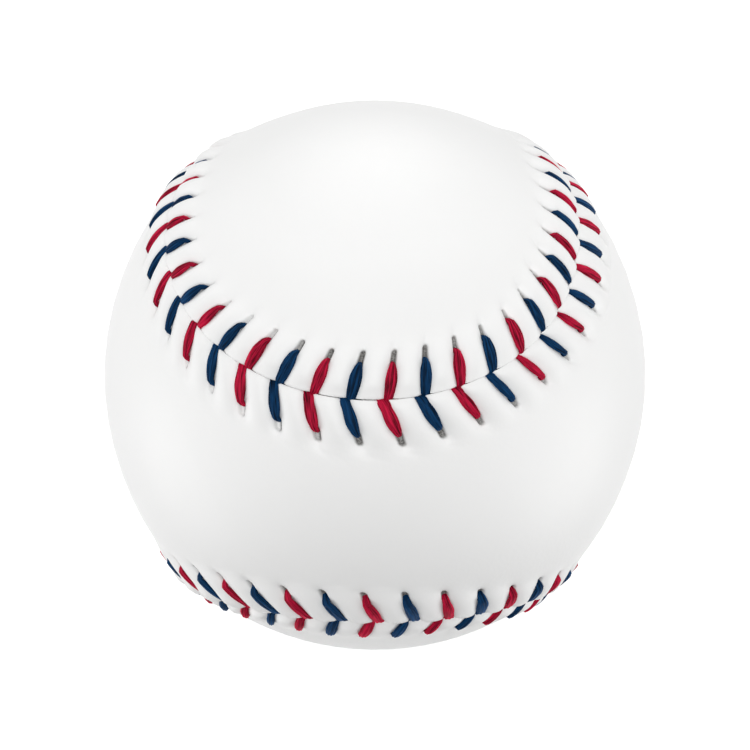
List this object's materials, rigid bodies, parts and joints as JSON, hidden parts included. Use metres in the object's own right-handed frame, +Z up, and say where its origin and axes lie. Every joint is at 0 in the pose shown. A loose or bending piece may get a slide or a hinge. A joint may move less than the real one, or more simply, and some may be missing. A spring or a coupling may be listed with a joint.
{
  "type": "baseball",
  "caption": "Hand-sewn leather baseball with figure-eight covers joined by a curved V-stitched seam in alternating red and navy thread, over yarn windings and a cushioned cork pill.",
  "frame": {"origin": "centre of the ball", "axes": "+Z up through the middle of the rear cover's upper lobe, -Y through the middle of the front cover's waist, +X through the front cover's right lobe"},
  "size_m": [0.0732, 0.0732, 0.0732],
  "materials": {
    "cork": "matt granulated cork",
    "black_rubber": "matt moulded rubber",
    "red_rubber": "matt moulded rubber",
    "grey_wool": "wound wool yarn",
    "white_wool": "wound wool yarn",
    "cotton": "fine wound cotton yarn",
    "latex": "thin dried latex",
    "leather": "smooth white leather with a fine grain",
    "red_thread": "waxed cotton thread",
    "navy_thread": "waxed cotton thread"
  },
  "bodies": {
    "root": {"cork_core": "cork", "inner_rubber_upper_half": "black_rubber", "inner_rubber_lower_half": "black_rubber", "rubber_washer": "red_rubber", "outer_rubber_shell": "red_rubber", "first_wool_winding": "grey_wool", "second_wool_winding": "white_wool", "third_wool_winding": "grey_wool", "cotton_winding": "cotton", "front_glue_coat": "latex", "rear_glue_coat": "latex", "front_cover": "leather", "rear_cover": "leather", "red_thread": "red_thread", "navy_thread": "navy_thread"}
  },
  "joints": []
}
